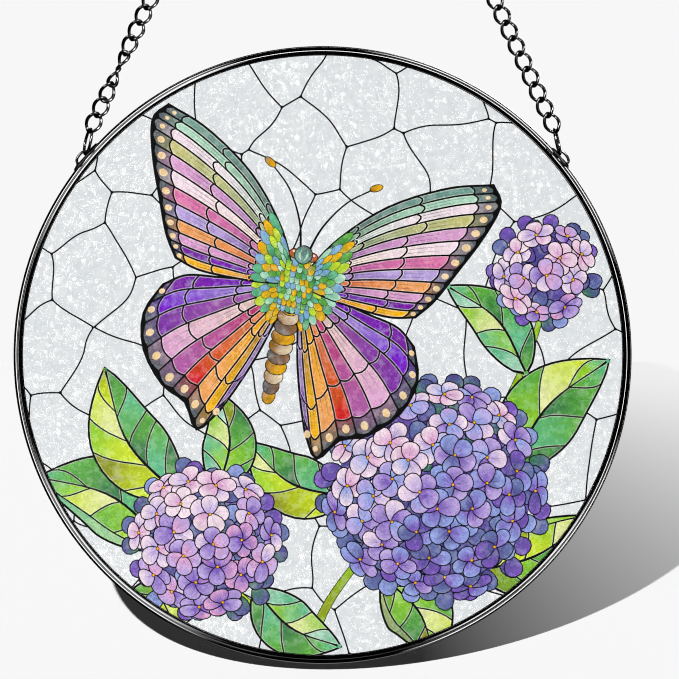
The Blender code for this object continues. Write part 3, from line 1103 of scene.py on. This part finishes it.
def make_chain(side, hand, finish):
    """A curb chain: each oval link is twisted so that it lies flat."""
    shape = bmesh.new()
    for number in range(LINKS):
        edge_on = TOP_TURN * max(0, 1 - number / TURNED_LINKS)
        if side < 0:
            edge_on += math.radians(HALF_TURN.get(LINKS - 1 - number, 0))
        made = ring_shape(shape, LINK_HALF, LINK_WIRE * LINK_FULLNESS, Matrix.Identity(4), 32)
        for vertex in made:
            link_form(vertex, edge_on)
        bmesh.ops.transform(shape, matrix=chain_place(FIRST_LINK + number * LINK_PITCH, side), verts=made)
    return add_metal(f"curb_chain_{hand}", shape, [finish], f"chain_{hand}", 60)


def tube(shape, path, widths, sides=12):
    """Adds a closed round wire along a path in an upright plane, as wide as the list of widths says."""
    rings = []
    for index, point in enumerate(path):
        ahead = path[min(index + 1, len(path) - 1)] - path[max(index - 1, 0)]
        turn = ahead.to_track_quat("Z", "Y").to_matrix().to_4x4()
        width = width_at(widths, index / (len(path) - 1))
        rings.append(edges_of(circle(shape, width, Matrix.Translation(point) @ turn, sides)))
    for first, second in zip(rings, rings[1:]):
        bmesh.ops.bridge_loops(shape, edges=first + second)
    for end in (rings[0], rings[-1]):
        bmesh.ops.holes_fill(shape, edges=end, sides=0)


def make_eye(side, hand, finishes):
    """A low wire eye: its arch, its feet along the rim and the solder that holds them there."""
    shape = bmesh.new()
    upper, lower = EYE_FEET[side]
    knots = [foot_point(EYE_HALF_SPAN + upper * share, side) for share in (1, 0.65, 0.32)]
    knots += [bow_point(angle, side) for angle in half_turn(14)]
    knots += [foot_point(-EYE_HALF_SPAN - lower * share, side) for share in (0.32, 0.65, 1)]
    thin = [EYE_WIRE * 0.55, EYE_WIRE * 0.95]
    tube(shape, [PANE_CENTRE + knot for knot in knots], [*thin, *[EYE_WIRE] * 6, *thin[::-1]])
    wire = set(shape.faces)
    for sign, foot in ((1, upper), (-1, lower)):
        turn = EYE_ANGLE - sign * (EYE_HALF_SPAN + foot * 0.36) / RIM_RADIUS
        ball = bmesh.ops.create_uvsphere(shape, u_segments=20, v_segments=14, radius=1)["verts"]
        stretch = Matrix.Diagonal((SOLDER_RISE, SOLDER_DEPTH, foot * 0.62 + 0.0004, 1))
        lean = Matrix.Rotation(side * turn - math.pi / 2 * side, 4, "Y")
        place = Matrix.Translation(PANE_CENTRE + RIM_RADIUS * leaning(turn, side))
        bmesh.ops.transform(shape, matrix=place @ lean @ stretch, verts=ball)
        for vertex in ball:
            vertex.co += (vertex.co - place.translation) * 0.10 * noise.noise(vertex.co * 900)
    before = set(shape.verts)
    first, last = EYE_HALF_SPAN + upper + 0.001, -EYE_HALF_SPAN - lower - 0.001
    line = []
    for step in range(SOLDER_STEPS + 1):
        turn = EYE_ANGLE - mean(first, last, step / SOLDER_STEPS) / RIM_RADIUS
        line.append(PANE_CENTRE + SOLDER_LINE * leaning(turn, side) + SOLDER_FRONT)
    tube(shape, line, SOLDER_WIDTHS, 16)
    for vertex in set(shape.verts) - before:
        vertex.co += Vector((1, 0.4, 1)) * SOLDER_LUMPS * noise.noise(vertex.co * 700)
    for face in set(shape.faces) - wire:
        face.material_index = 1
    return add_metal(f"wire_eye_{hand}", shape, finishes, f"hanging_eye_{hand}")


# ---- finishes

class Nodes:
    """A new material's nodes, or a tree that is there already, with short calls to add and join them."""

    def __init__(self, name=None, tree=None):
        if tree is not None:
            self.tree = tree
            return
        self.material = bpy.data.materials.new(name)
        self.material.use_nodes = True
        self.tree = self.material.node_tree
        self.shader = self.tree.nodes["Principled BSDF"]

    def add(self, kind, **settings):
        """A new node. Each setting is one of its own, or else the value of its input of that name."""
        node = self.tree.nodes.new(kind)
        for name, value in settings.items():
            if hasattr(node, name):
                setattr(node, name, value)
            else:
                node.inputs[name.replace("_", " ")].default_value = value
        return node

    def join(self, source, target):
        """Joins two sockets, or sets the target where the source is a plain number or colour."""
        if isinstance(source, (int, float)):
            target.default_value = source
        elif isinstance(source, tuple):
            target.default_value = (*source, 1)
        else:
            self.tree.links.new(source, target)

    def shade(self, **values):
        """Sets or joins the shader's own inputs."""
        for name, value in values.items():
            self.join(value, self.shader.inputs[name.replace("_", " ")])

    def coordinates(self, scale=(1, 1, 1), source=None):
        """Object coordinates, or another source, stretched by `scale`."""
        mapping = self.add("ShaderNodeMapping", Scale=scale)
        if source is None:
            source = self.add("ShaderNodeTexCoord").outputs["Object"]
        self.join(source, mapping.inputs["Vector"])
        return mapping.outputs["Vector"]

    def noise(self, where, scale, detail, roughness=0.5, distortion=0.0):
        settings = {"Detail": detail, "Roughness": roughness, "Distortion": distortion}
        node = self.add("ShaderNodeTexNoise", Scale=scale, **settings)
        self.join(where, node.inputs["Vector"])
        return node.outputs["Fac"]

    def span(self, value, low, high, to_low, to_high):
        """The value's stretch from low to high, spread over to_low to to_high and held there."""
        node = self.add("ShaderNodeMapRange", From_Min=low, From_Max=high, To_Min=to_low, To_Max=to_high)
        self.join(value, node.inputs["Value"])
        return node.outputs["Result"]

    def calc(self, first, second, operation="ADD"):
        node = self.add("ShaderNodeMath", operation=operation)
        self.join(first, node.inputs[0])
        self.join(second, node.inputs[1])
        return node.outputs[0]

    def mix(self, share, first, second, blend_type="MIX"):
        node = self.add("ShaderNodeMix", data_type="RGBA", blend_type=blend_type)
        for value, number in ((share, 0), (first, 6), (second, 7)):
            self.join(value, node.inputs[number])
        return node.outputs[2]

    def vector(self, operation, first, second=None):
        node = self.add("ShaderNodeVectorMath", operation=operation)
        self.join(first, node.inputs[0])
        if second is not None:
            node.inputs[1].default_value = second
        return node.outputs["Value" if operation == "DOT_PRODUCT" else "Vector"]

    def parts(self, vector):
        """The vector's X, Y and Z."""
        node = self.add("ShaderNodeSeparateXYZ")
        self.join(vector, node.inputs[0])
        return node.outputs

    def attribute(self, name):
        return self.add("ShaderNodeAttribute", attribute_name=name).outputs["Vector"]

    def bump(self, height, distance, strength):
        node = self.add("ShaderNodeBump", Distance=distance, Strength=strength)
        self.join(height, node.inputs["Height"])
        self.shade(Normal=node.outputs["Normal"])


def glint_flakes(nodes, where):
    """Irregular flecks in the glass's texture, 1 where it has one: clustered round chips and thin curled
    streaks. clear_glass paints them white, a painted glint of light on each.
    """
    sparse = nodes.span(nodes.noise(where, 0.11 * PER_MM, 2.0), 0.35, 0.65, 0.662, 0.582)
    chips = nodes.noise(where, 0.52 * PER_MM, 0.6, 0.5, 0.3)
    streaks = nodes.noise(where, 0.75 * PER_MM, 1.2, 0.5, 1.7)
    chip = nodes.span(nodes.calc(chips, sparse, "SUBTRACT"), 0.0, 0.07, 0.0, 1.0)
    streak = nodes.span(nodes.calc(streaks, sparse, "SUBTRACT"), 0.0, 0.07, 0.0, 0.75)
    return nodes.calc(chip, streak, "MAXIMUM")


def clear_glass():
    """See-through glass with a faint grey mottling and a texture of flecks, raised a little by the bump,
    whose white is a painted glint of light.
    """
    nodes = Nodes("clear_textured_glass")
    where = nodes.coordinates((1, 0.25, 1))
    glint_flake = glint_flakes(nodes, where)
    mottle = nodes.span(nodes.noise(where, 0.30 * PER_MM, 5.0, 0.62), 0.3, 0.68, 0, 1)
    tint = nodes.mix(mottle, rgb(215, 220, 223), rgb(235, 238, 239))
    height = nodes.calc(nodes.calc(glint_flake, 0.5, "MULTIPLY"), nodes.noise(where, 0.9 * PER_MM, 2.0))
    nodes.bump(height, 0.10 * MM, 0.6)
    # Painted glints: the flecks are painted white in the base colour, standing for light caught on the
    # glass's texture
    nodes.shade(Base_Color=nodes.mix(glint_flake, tint, rgb(255, 255, 255)))
    nodes.shade(Transmission_Weight=1.0, IOR=1.47, Roughness=0.03)
    return nodes.material


def stained_glass():
    """Stain washed over the glass: it runs between two colours, with streaks and blooms."""
    nodes = Nodes("stained_wash")
    where = nodes.coordinates((1, 0.25, 1))
    grain = nodes.attribute("grain")
    streaks = nodes.noise(nodes.coordinates((1.4, 0.55, 1.0), grain), 1.0, 3.0, 0.6, 0.3)
    wander = nodes.noise(where, 0.16 * PER_MM, 3.0, 0.55)
    share = nodes.calc(nodes.parts(grain)[0], nodes.span(wander, 0.25, 0.75, -0.28, 0.28))
    share = nodes.calc(share, nodes.span(streaks, 0.3, 0.7, -0.16, 0.16))
    share = nodes.span(share, 0.0, 1.0, 0.0, 1.0)
    colour = nodes.mix(share, nodes.attribute("stain_low"), nodes.attribute("stain_high"))
    bloom = nodes.noise(where, 0.34 * PER_MM, 4.0, 0.62)
    colour = nodes.mix(nodes.span(bloom, 0.52, 0.78, 0.0, 0.18), colour, rgb(255, 255, 246))
    shade = nodes.mix(nodes.span(bloom, 0.22, 0.5, 0.30, 0.0), (1, 1, 1), rgb(96, 104, 120))
    vivid = nodes.add("ShaderNodeHueSaturation", Saturation=1.08)
    nodes.join(nodes.mix(1.0, colour, shade, "MULTIPLY"), vivid.inputs["Color"])
    nodes.bump(nodes.noise(where, 0.55 * PER_MM, 2.0), 0.05 * MM, 0.35)
    nodes.shade(Base_Color=vivid.outputs["Color"], Roughness=nodes.span(bloom, 0.3, 0.7, 0.20, 0.34))
    nodes.shade(Transmission_Weight=0.30, IOR=1.47, Specular_IOR_Level=0.3)
    return nodes.material


def lead_line():
    """The black line between the panes, a little uneven in its gloss."""
    nodes = Nodes("black_line_ink")
    uneven = nodes.noise(nodes.coordinates(), 0.8 * PER_MM, 3.0)
    nodes.bump(uneven, 0.03 * MM, 0.4)
    nodes.shade(Base_Color=nodes.mix(uneven, rgb(1, 1, 1), rgb(7, 7, 8)), Specular_IOR_Level=0.03)
    nodes.shade(Roughness=nodes.span(uneven, 0.3, 0.7, 0.25, 0.45))
    return nodes.material


def black_plating(name, dull, gloss, mirror, coat):
    """Black plating, rubbed a little brown in patches; its roughness wanders from gloss to dull."""
    nodes = Nodes(name)
    where = nodes.coordinates()
    patches = nodes.span(nodes.noise(where, 0.10 * PER_MM, 4.0, 0.6), 0.50, 0.75, 0.0, 1.0)
    fine = nodes.noise(where, 1.6 * PER_MM, 3.0, 0.55)
    nodes.bump(fine, 0.003 * MM, 0.3)
    nodes.shade(Base_Color=nodes.mix(patches, rgb(1, 1, 1), rgb(12, 9, 8)))
    nodes.shade(Roughness=nodes.span(fine, 0.3, 0.7, gloss, dull), Specular_IOR_Level=mirror)
    nodes.shade(Coat_Weight=coat, Coat_Roughness=0.03)
    return nodes.material


# ---- studio

PICTURE_SOFTNESS = 1.1
FRAME_WIDTH = 0.21950
CAMERA_DISTANCE = 1.0
CAMERA_ASIDE = 0.00547
CAMERA_RAISE = 0.00505
BACKGROUND = rgb(247, 247, 247)[0]
FILL = 0.50
DARK = 0.004
# What the metal mirrors: rings of light about the line of sight, each between two angles from it, and lit
# only in some sectors, which are given by their middle and half their width in degrees, and how bright
RINGS = [
    (21, 40, [(50, 28, 12.0), (314, 25, 12.0)]),
    (14.9, 25, [(178, 65, 14.0)]),
    (9.2, 13.7, [(134, 22, 12.0), (223, 17, 11.0), (309, 16, 11.0)]),
    (64, 73.5, [(38, 83, 16.0)]),
    (5.5, 9.2, [(224, 20, 3.5)]),
]
GROUND_GLOW = 1.4
FLOOR_RADIUS = 14
FLOOR_DROP = 0.0037
FLOOR_SHADE = 0.06
# The floor turns to plain background to the right, so that the shadow there is paler
FADE_MOST = 0.93
FADE_RATE = 4.35
FADE_START = 0.866
# Just above the top of the rim, beside the camera: its shadow runs far back to the right
SHADOW_LAMP = (-0.067, -1.034, 0.105)
SHADOW_LAMP_POWER = 2850
SHADOW_LAMP_RADIUS = 0.002
# Each lamp's name, place from the pane, width and power. The first three light all but the floor, and the
# other two only put sparks of light on the wire work.
LAMPS = [
    ("key", (-0.80, -1.1, 0.80), 0.45, 10),
    ("fill", (0.9, -1.1, 0.35), 0.5, 5),
    ("back", (0.5, 1.2, 0.7), 0.6, 8),
]
SPARKS = [("spark_right", (0.55, -0.85, 0.75), 0.42, 290), ("spark_left", (-0.75, -0.95, 0.55), 0.42, 160)]


def cosine(degrees):
    return math.cos(math.radians(degrees))


def add_camera():
    camera = bpy.data.cameras.new("camera")
    camera.sensor_width = 36
    camera.lens = camera.sensor_width * CAMERA_DISTANCE / FRAME_WIDTH
    camera.clip_start = 0.01
    camera.clip_end = 100
    eye = placed("camera", camera)
    eye.location = PANE_CENTRE + Vector((CAMERA_ASIDE, -CAMERA_DISTANCE - RIM_HALF, CAMERA_RAISE))
    eye.rotation_euler = (math.pi / 2, 0, 0)
    bpy.context.scene.camera = eye


def add_light(name, place, width, power):
    """A soft square lamp that faces the pane."""
    lamp = bpy.data.lights.new(name, "AREA")
    lamp.shape = "SQUARE"
    lamp.size = width
    lamp.energy = power
    body = placed(name, lamp)
    body.location = PANE_CENTRE + Vector(place)
    body.rotation_euler = (PANE_CENTRE - body.location).to_track_quat("-Z", "Y").to_euler()
    return body


def add_world():
    """White all round to look at. What the metal mirrors is dark, with parts of narrow bright rings."""
    world = bpy.data.worlds.new("studio")
    bpy.context.scene.world = world
    world.use_nodes = True
    nodes = Nodes(tree=world.node_tree)
    way = nodes.add("ShaderNodeTexCoord").outputs["Generated"]
    _, depth, height = nodes.parts(way)
    level = nodes.vector("NORMALIZE", nodes.vector("MULTIPLY", way, (1, 0, 1)))
    mirrored = nodes.calc(nodes.span(height, -0.85, -0.97, 0.0, GROUND_GLOW), DARK)
    for inner, outer, sectors in RINGS:
        beyond = nodes.span(depth, -cosine(inner - 1), -cosine(inner + 1), 0.0, 1.0)
        within = nodes.span(depth, -cosine(outer - 1), -cosine(outer + 1), 1.0, 0.0)
        ring = nodes.calc(beyond, within, "MULTIPLY")
        for middle, half, bright in sectors:
            facing = nodes.vector("DOT_PRODUCT", level, (cosine(middle), 0, cosine(middle - 90)))
            lit = nodes.span(facing, cosine(half + 5), cosine(half - 5), 0.0, bright)
            mirrored = nodes.calc(mirrored, nodes.calc(ring, lit, "MULTIPLY"))
    ray = nodes.add("ShaderNodeLightPath").outputs
    seen = nodes.mix(ray["Is Glossy Ray"], (FILL, FILL, FILL), mirrored)
    seen = nodes.mix(ray["Is Camera Ray"], seen, (BACKGROUND, BACKGROUND, BACKGROUND))
    seen = nodes.mix(ray["Is Transmission Ray"], seen, (1.0, 1.0, 1.0))
    nodes.join(seen, nodes.tree.nodes["Background"].inputs["Color"])


def add_floor():
    """A pale floor just under the rim, which fades into the background."""
    shape = bmesh.new()
    centre = Matrix.Translation((PANE_CENTRE.x, 0, PANE_CENTRE.z - RIM_RADIUS - FLOOR_DROP))
    bmesh.ops.create_circle(shape, cap_ends=True, segments=96, radius=FLOOR_RADIUS, matrix=centre)
    mesh = bpy.data.meshes.new("floor")
    shape.to_mesh(mesh)
    shape.free()
    floor = placed("floor", mesh)
    nodes = Nodes("pale_floor")
    nodes.shade(Base_Color=(FLOOR_SHADE, FLOOR_SHADE, FLOOR_SHADE), Roughness=0.9, Specular_IOR_Level=0.0)
    glow = nodes.add("ShaderNodeEmission", Color=(BACKGROUND, BACKGROUND, BACKGROUND, 1))
    fade = nodes.add("ShaderNodeMixShader")
    across = nodes.parts(nodes.coordinates())[0]
    falling = nodes.calc(math.e, nodes.calc(across, -FADE_RATE, "MULTIPLY"), "POWER")
    share = nodes.span(falling, FADE_START, 0.0, 0.0, FADE_MOST)
    for source, socket in zip((share, nodes.shader.outputs[0], glow.outputs[0]), fade.inputs):
        nodes.join(source, socket)
    nodes.join(fade.outputs[0], nodes.tree.nodes["Material Output"].inputs["Surface"])
    mesh.materials.append(nodes.material)
    floor.visible_glossy = False
    floor.visible_transmission = False
    floor.visible_diffuse = False
    return floor


def light_only(lamp, receivers, others=()):
    """The lamp lights those receivers alone, or with none everything but the others."""
    group = bpy.data.collections.new(f"{lamp.name}_lit")
    lamp.light_linking.receiver_collection = group
    for receiver in receivers:
        group.objects.link(receiver)
    for other in others:
        group.objects.link(other)
        group.collection_objects[-1].light_linking.link_state = "EXCLUDE"


def add_studio(wire_work):
    bpy.context.scene.view_settings.view_transform = "Standard"
    bpy.context.scene.cycles.filter_width = PICTURE_SOFTNESS
    add_world()
    add_camera()
    floor = add_floor()
    for row in LAMPS:
        lamp = add_light(*row)
        lamp.visible_glossy = lamp.name == "back"
        light_only(lamp, [], [floor])
    light_only(add_shadow_lamp(), [floor])
    for row in SPARKS:
        spark = add_light(*row)
        spark.visible_diffuse = False
        light_only(spark, wire_work)


def add_shadow_lamp():
    """A small lamp for the floor alone. It doesn't fade with distance, so the floor is white all over."""
    lamp = bpy.data.lights.new("shadow_lamp", "POINT")
    lamp.energy = SHADOW_LAMP_POWER
    lamp.shadow_soft_size = SHADOW_LAMP_RADIUS
    lamp.use_nodes = True
    nodes = Nodes(tree=lamp.node_tree)
    steady = nodes.add("ShaderNodeLightFalloff", Strength=1.0).outputs["Constant"]
    length = nodes.add("ShaderNodeLightPath").outputs["Ray Length"]
    strength = nodes.tree.nodes["Emission"].inputs["Strength"]
    nodes.join(nodes.calc(steady, length, "MULTIPLY"), strength)
    body = placed("shadow_lamp", lamp)
    body.location = PANE_CENTRE + Vector(SHADOW_LAMP)
    return body


# ---- put together

def build():
    channel = black_plating("channel_plating", 0.06, 0.03, 0.9, 0.8)
    chain = black_plating("chain_plating", 0.14, 0.07, 0.10, 0.0)
    solder = black_plating("blackened_solder", 0.50, 0.30, 0.015, 0.0)
    make_glass_panel([clear_glass(), stained_glass(), lead_line()])
    make_rim(channel)
    wire_work = [make_top_ring(chain)]
    for side, hand in ((-1, "left"), (1, "right")):
        wire_work.append(make_eye(side, hand, [chain, solder]))
        wire_work.append(make_jump_ring(side, hand, chain))
        wire_work.append(make_chain(side, hand, chain))
    add_studio(wire_work)


build()
